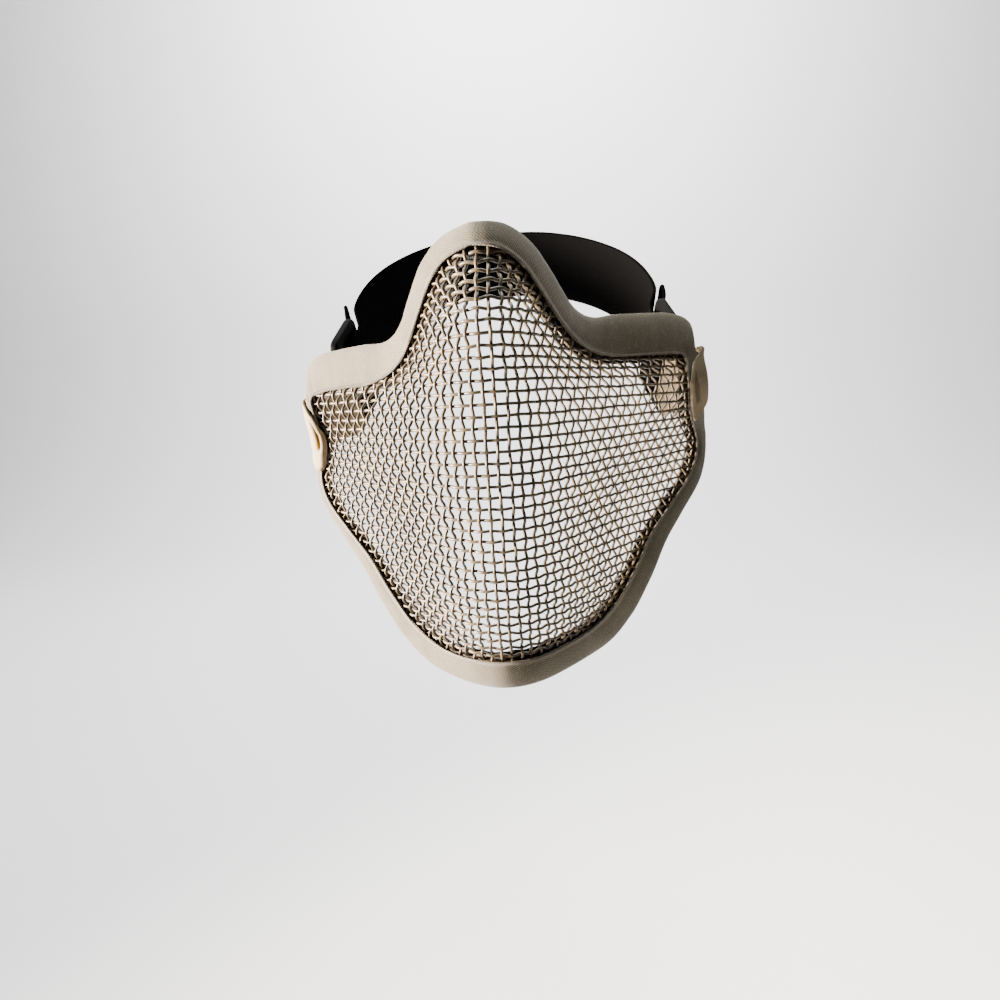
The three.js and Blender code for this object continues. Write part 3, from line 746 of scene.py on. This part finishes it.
# ------------------------------------------------------------------ binding
# Half of the folded tape's section: share of the width, and height over the middle surface.
TAPE_LEAF = [
    (0.84, 1.2), (0.5, 1.2), (0.05, 1.2), (0.012, 1.22), (-0.012, 1.4), (-0.012, 1.65), (0.01, 1.88),
    (0.05, 2.02), (0.1, 2.0), (0.13, 1.9), (0.16, 1.98), (0.22, 2.2), (0.32, 2.38), (0.44, 2.46),
    (0.58, 2.48), (0.7, 2.4), (0.8, 2.2), (0.88, 1.82), (0.945, 1.3), (0.985, 0.68), (1.0, 0.0),
]
TAPE_SEAM = 5                            # the point of the leaf at the tape's inner edge
TAPE_MIDDLE = 14                         # the point of the leaf at the middle of its crown
TAPE_RINGS = 620
# Waves that the seam pulls into the tape: how many round the edge, phase, and height.
TAPE_PUCKERS = [(61, 0.4, 0.05), (43, 2.0, 0.06), (97, 1.1, 0.035), (17, 0.8, 0.05)]


def tape_pucker(turn, share):
    """Height of the tape's small waves, which die down towards its outer fold."""
    waves = sum(math.sin(turn * 2 * math.pi * n + phase) * high for n, phase, high in TAPE_PUCKERS)
    return waves * (1 - 0.6 * share)


def sewn_ring(name, rings, material, seam, middle):
    """Closed sweep round the edge, its cloth measured across from the seam and along the middle line."""
    line = rings[:, middle]
    along = lengths_along(np.concatenate([line, line[:1]]))
    faces, maps = loop_skin(rings, along, seam)
    piece = piece_from(name, rings.reshape(-1, 3), faces, material, "edge_binding", maps)
    turn_outwards(piece)


def build_binding():
    """Folded tape with turned-in edges, round the whole edge of the net."""
    still_height, sway_share = 1.3, 0.3
    profile = TAPE_LEAF + [(share, -proud) for share, proud in reversed(TAPE_LEAF[:-1])]
    shares = np.array([p[0] for p in profile])
    prouds = np.array([p[1] for p in profile])
    lifted = np.abs(prouds) > still_height
    rings = []
    for r in range(TAPE_RINGS):
        turn = r / TAPE_RINGS
        wave = np.array([tape_pucker(turn, max(share, 0)) for share in shares])
        sway = 0.012 * math.sin(r * 0.21) * (shares < sway_share)
        lift = prouds + np.sign(prouds) * wave * lifted
        rings.append(tape_point(LOOP * r / TAPE_RINGS, shares + sway, lift))
    sewn_ring("bound_edge", np.array(rings), TAPE, seam=TAPE_SEAM, middle=TAPE_MIDDLE)


def tape_widths(stations):
    """Width of the tape from its inner edge to its outer fold."""
    inner, outer = (np.stack(edge_point(stations, share), -1) for share in (0, 1))
    return np.linalg.norm(outer - inner, axis=-1)


def build_lining():
    """Dark lining of the tape's rear leaf, whose rolled border shows past the tape, behind the wires."""
    middle, half_width, height, half_height = 0.72, 1.0, 1.75, 0.55
    sides = 12
    stations = LOOP * np.arange(TAPE_RINGS) / TAPE_RINGS
    widths = tape_widths(stations)
    turns = np.linspace(0, 2 * math.pi, sides, endpoint=False)
    sway = 0.22 * np.sin(stations * 5.3) + 0.14 * np.sin(stations * 11.9)
    rings = np.stack([
        tape_point(stations, (half_width * math.cos(t) - middle + sway) / widths,
                   half_height * math.sin(t) - height)
        for t in turns], 1)
    sewn_ring("dark_lining", rings, LINING, seam=0, middle=sides // 2)


def even_stations(share, proud, spacing):
    """Stations at even distances round the edge along a line of the tape."""
    stations = np.arange(0, LOOP + 0.01, 0.02)
    run = lengths_along(tape_point(stations, share, proud))
    count = int(run[-1] / spacing)
    return np.interp(np.arange(count) * run[-1] / count, run, stations)


def stitch_tree():
    """Geometry nodes: lays one thread tick on each point, along its direction."""
    tree, given, ids = new_tree("thread_ticks", {"Tick Size": "NodeSocketVector"})
    nodes, links = tree.nodes, tree.links
    lay, turn = nodes.new("GeometryNodeInputNamedAttribute"), nodes.new("FunctionNodeAlignRotationToVector")
    lay.data_type = "FLOAT_VECTOR"
    lay.inputs["Name"].default_value = "lay"
    links.new(lay.outputs["Attribute"], turn.inputs["Vector"])
    tick, place = nodes.new("GeometryNodeMeshUVSphere"), nodes.new("GeometryNodeInstanceOnPoints")
    tick.inputs["Segments"].default_value, tick.inputs["Rings"].default_value = 6, 5
    tick.inputs["Radius"].default_value = 0.5
    links.new(given.outputs["Geometry"], place.inputs["Points"])
    links.new(tick.outputs["Mesh"], place.inputs["Instance"])
    links.new(turn.outputs["Rotation"], place.inputs["Rotation"])
    links.new(given.outputs["Tick Size"], place.inputs["Scale"])
    close_tree(tree, given, place.outputs[0])
    return tree, ids


def build_stitches():
    """Overcast thread on the rolled inner edge of the tape."""
    spacing, width, length, slant = 0.46, 0.36, 1.3, 0.8
    low_over, low_height = -0.35, 1.66
    high_over, high_height = 0.75, 2.24
    stations = even_stations(share=0.03, proud=2.0, spacing=spacing)
    widths = tape_widths(stations)
    step = np.gradient(stations) * slant
    low = tape_point(stations - step, low_over / widths, low_height)
    high = tape_point(stations + step, high_over / widths, high_height)
    lay = high - low
    mesh = bpy.data.meshes.new("overcast_points")
    mesh.from_pydata(((low + high) / 2 * MM).tolist(), [], [])
    mesh.attributes.new("lay", "FLOAT_VECTOR", "POINT").data.foreach_set("vector", lay.ravel())
    points = placed("overcast_points", mesh)
    tree, ids = stitch_tree()
    modifier = points.modifiers.new("thread_ticks", "NODES")
    modifier.node_group = tree
    modifier[ids["Tick Size"]] = (width * MM, width * MM, length * MM)
    modifier[ids["Material"]] = THREAD
    settle(made_plain(points, "overcast_thread"), "edge_binding")


# ------------------------------------------------------------------ strap, sliders and tabs
def on_strap(x, back, offset):
    """Point in the strap's inclined plane, at an offset from its middle across the width."""
    c, s = math.cos(STRAP_RISE), math.sin(STRAP_RISE)
    x, back, offset = np.broadcast_arrays(*(np.asarray(v, float) for v in (x, back, offset)))
    return np.stack([x + STRAP_SHIFT, STRAP_BAR[0] + back * c - offset * s,
                     STRAP_BAR[1] + back * s + offset * c], -1)


def by_slider(along, out):
    """Point beside the right-hand slider: distance from its front bar, and out from its middle plane."""
    c, s = math.cos(SLIDER["turn"]), math.sin(SLIDER["turn"])
    return SLIDER_BAR_X + along * s + out * c, along * c - out * s


def half_strap(route):
    """Middle line of half the strap: from its free end, round the slider's middle bar, to the back."""
    bar = SLIDER["bar"] + SLIDER["slot"]
    turn = math.hypot(SLIDER["bar"], SLIDER["thickness"]) / 2 + GAP + STRAP_THICKNESS / 2
    lie = SLIDER["thickness"] / 2 + GAP + 0.1 + STRAP_THICKNESS / 2
    rear = SLIDER["length"] - SLIDER["bar"] / 2
    past = bar + 1.5
    tail = smooth_line([*reversed(route), by_slider(rear, lie), by_slider(past, turn)], step=0.8)
    angles = [math.pi * i / 14 for i in range(1, 14)]
    bend = [by_slider(bar - turn * math.sin(a), turn * math.cos(a)) for a in angles]
    round_head = smooth_line([by_slider(past, -turn), by_slider(rear, -lie), *STRAP_ROUTE], step=2.0)
    half = np.concatenate([tail, bend, round_head])
    half[-1, 0] = 0
    return half


def strap_line():
    """Middle line of the whole strap, from the right free end to the left one."""
    left = half_strap(TAIL_ROUTE["left"]) * (-1, 1)
    return np.concatenate([half_strap(TAIL_ROUTE["right"]), left[:-1][::-1]])


def build_strap():
    """Elastic band with rounded corners at its free ends."""
    corner, cut, columns = 5.0, 0.4, 27
    line = strap_line()
    run = lengths_along(line)
    from_end = np.clip(np.minimum(run, run[-1] - run), cut, corner)
    half = STRAP_WIDTH / 2 - corner + np.sqrt(corner ** 2 - (corner - from_end) ** 2)
    grid = on_strap(line[:, :1], line[:, 1:], half[:, None] * np.linspace(-1, 1, columns))
    cloth_shell("elastic_strap", grid, STRAP_THICKNESS * CLOTH_SHARE, ELASTIC, "head_strap")


def build_slider(side):
    """Moulded slider: the solid's plate with two slots, its edges rounded."""
    node = f"slider_{side}"
    mesh = bpy.data.meshes.new(node + "_moulding")
    work = bmesh.new()
    work.from_mesh(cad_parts[node].data)
    bmesh.ops.remove_doubles(work, verts=work.verts, dist=1e-5)
    bmesh.ops.dissolve_limit(work, angle_limit=math.radians(2), verts=work.verts, edges=work.edges)
    sharp = [e for e in work.edges if e.is_manifold and e.calc_face_angle() > math.radians(30)]
    bmesh.ops.bevel(work, geom=sharp, offset=SLIDER_EDGE * MM, segments=4, profile=0.5, affect="EDGES",
                    clamp_overlap=True)
    bmesh.ops.recalc_face_normals(work, faces=work.faces)
    work.to_mesh(mesh)
    work.free()
    mesh.materials.clear()
    mesh.materials.append(PLASTIC)
    mesh.polygons.foreach_set("use_smooth", [True] * len(mesh.polygons))
    settle(placed(f"moulded_slider_{side}", mesh), node)


TAB_STEPS, TAB_ROWS = 260, 61            # points round each tab, and lines from its lower end to its upper


def tab_line(side, sign, share, extra):
    """Points of one line round the tab, from the front of the tape, round the slider's bar, to its rear."""
    rows = np.array(TAB_SECTIONS[side], float)
    at = {column: np.interp(share, rows[:, 0], rows[:, i]) for i, column in enumerate(TAB_COLUMNS)}
    clear = GAP + TAPE_CROWN + 0.2
    rear = clear + 0.4
    high = clear + at["puff"]
    room = SLIDER["thickness"] / 2 + GAP
    fold = SLIDER["bar"] / 2 + GAP + 0.2
    tape_width, bar_length = 10, STRAP_WIDTH - 2
    # Each row: what it follows, how far along, how high, and how much of the cloth's thickness goes along.
    front = [("edge", at["start"], at["lip"], 1), ("edge", at["start"], max(at["lip"], high - 0.3), 0.7),
             ("edge", at["start"] + 0.12, high, 0), ("edge", 0.45, high, 0), ("edge", 0.82, high, 0),
             ("edge", 1.06, at["stand"], 0), ("bar", -11, at["behind"], 0), ("bar", -3, room, 0),
             ("bar", 1.2, room, 0)]
    rear_leaf = [("bar", 1.2, -room), ("bar", -3, -room), ("bar", -9, -3), ("edge", 1.04, 0.6 - rear),
                 ("edge", 0.7, -rear), ("edge", 0.4, -rear), ("edge", 0.12, -rear)]
    path = [(kind, along - lean * extra / tape_width, out + (1 - lean) * extra)
            for kind, along, out, lean in front]
    path += [("bar", fold + extra, 0)]
    path += [(kind, along, out - extra) for kind, along, out in rear_leaf]
    points = []
    for kind, along, out in path:
        if kind == "edge":
            reach = min(max(along, 0), 1)
            station = BACK_TOP + at["inner"] + (at["outer"] - at["inner"]) * reach
            points.append(tape_point(sign * station, along, out))
        else:
            x, back = by_slider(along, out)
            points.append(on_strap(sign * x, back, (share - 0.5) * bar_length))
    return smooth_line(points, count=TAB_STEPS)


def fold_shape(side):
    """A tab's fold over its grid as shares of its depth, that depth, and how strongly its painted shade
    shows.
    """
    height, half_height, place, half_width, deep, fold_painted_shade = TAB_FOLDS[side]
    up = (np.linspace(0, 1, TAB_ROWS) - height) / half_height
    round_it = (np.linspace(0, 1, TAB_STEPS) - place) / half_width
    high, wide = (np.clip(1 - u ** 2, 0, 1) ** 1.5 for u in (up, round_it))
    return high[:, None] * wide[None, :], deep, fold_painted_shade


def build_tab(side, sign):
    """Fabric tab: two leaves over the tape, folded round the slider's bar, with a fold pressed in."""
    shares = np.linspace(0, 1, TAB_ROWS)
    grid = np.array([tab_line(side, sign, share, TAB_THICKNESS / 2) for share in shares])
    shape, deep, fold_painted_shade = fold_shape(side)
    normal = unit(np.cross(np.gradient(grid, axis=0), np.gradient(grid, axis=1)))
    to_middle = grid.mean(axis=1, keepdims=True) - grid
    inward = np.sign(np.sum(normal * to_middle, -1, keepdims=True))
    grid += normal * inward * deep * shape[..., None]
    piece = cloth_shell(f"folded_tab_{side}", grid.transpose(1, 0, 2), TAB_THICKNESS * CLOTH_SHARE,
                        TAB[side], f"side_tab_{side}")
    # A point attribute gives where the fold's inside is painted with shade and a warm glow.
    rise, start = 3.4, 0.3
    inner = np.clip(shape.transpose(1, 0) * rise - start, 0, 1).ravel() * fold_painted_shade
    shown = np.zeros(len(piece.data.vertices))
    shown[:2 * len(inner)] = np.tile(inner, 2)
    piece.data.attributes.new("fold_painted_shade", "FLOAT", "POINT").data.foreach_set("value", shown)


# ------------------------------------------------------------------ light and floor
def build_stage():
    """Pale floor below the mask that sweeps up behind it."""
    low, half, start, bend, top = -0.45, 5.0, 1.1, 0.7, 3.2
    line = [(-half, low), (start, low)]
    for a in np.linspace(0, math.pi / 2, 16)[1:]:
        line.append((start + bend * math.sin(a), low + bend * (1 - math.cos(a))))
    line.append((start + bend, top))
    points = [(side, y, z) for y, z in line for side in (-half, half)]
    faces = [(2 * i, 2 * i + 1, 2 * i + 3, 2 * i + 2) for i in range(len(line) - 1)]
    mesh = bpy.data.meshes.new("floor")
    mesh.from_pydata(points, [], faces)
    mesh.polygons.foreach_set("use_smooth", [True] * len(faces))
    mesh.materials.append(floor_finish())
    placed("floor", mesh)


def add_light(name, place, target, size, power, colour, spread=180):
    """Round soft light, with its power in watts and its spread in degrees."""
    data = bpy.data.lights.new(name, "AREA")
    data.shape = "DISK"
    data.size, data.energy, data.color = size, power, colour
    data.spread = math.radians(spread)
    light = placed(name, data)
    light.location = place
    light.rotation_euler = (Vector(target) - Vector(place)).to_track_quat("-Z", "Y").to_euler()


def build_light():
    """Warm window light from the left, a weak one from above, and one on the backdrop."""
    world = bpy.data.worlds.new("soft_studio")
    world.use_nodes = True
    background = world.node_tree.nodes["Background"].inputs
    background["Color"].default_value = (0.94, 0.98, 1, 1)
    background["Strength"].default_value = 0.08
    bpy.context.scene.world = world
    middle = (0, 0.03, -0.07)
    add_light("window", place=(-0.93, -0.09, -0.06), target=middle, size=0.34, power=30.0,
              colour=(1.0, 0.87, 0.77), spread=55)
    add_light("sky", place=(-0.1, -0.3, 0.8), target=middle, size=0.3, power=0.52,
              colour=(0.92, 1.0, 0.95), spread=50)
    add_light("backdrop_high", place=(0.0, 0.55, 1.5), target=(0, 1.8, 0.3), size=1.4, power=125.0,
              colour=(1.0, 1.0, 1.0))


build_net()
build_binding()
build_lining()
build_stitches()
build_strap()
for side, sign in (("right", 1), ("left", -1)):
    build_slider(side)
    build_tab(side, sign)
build_stage()
build_light()
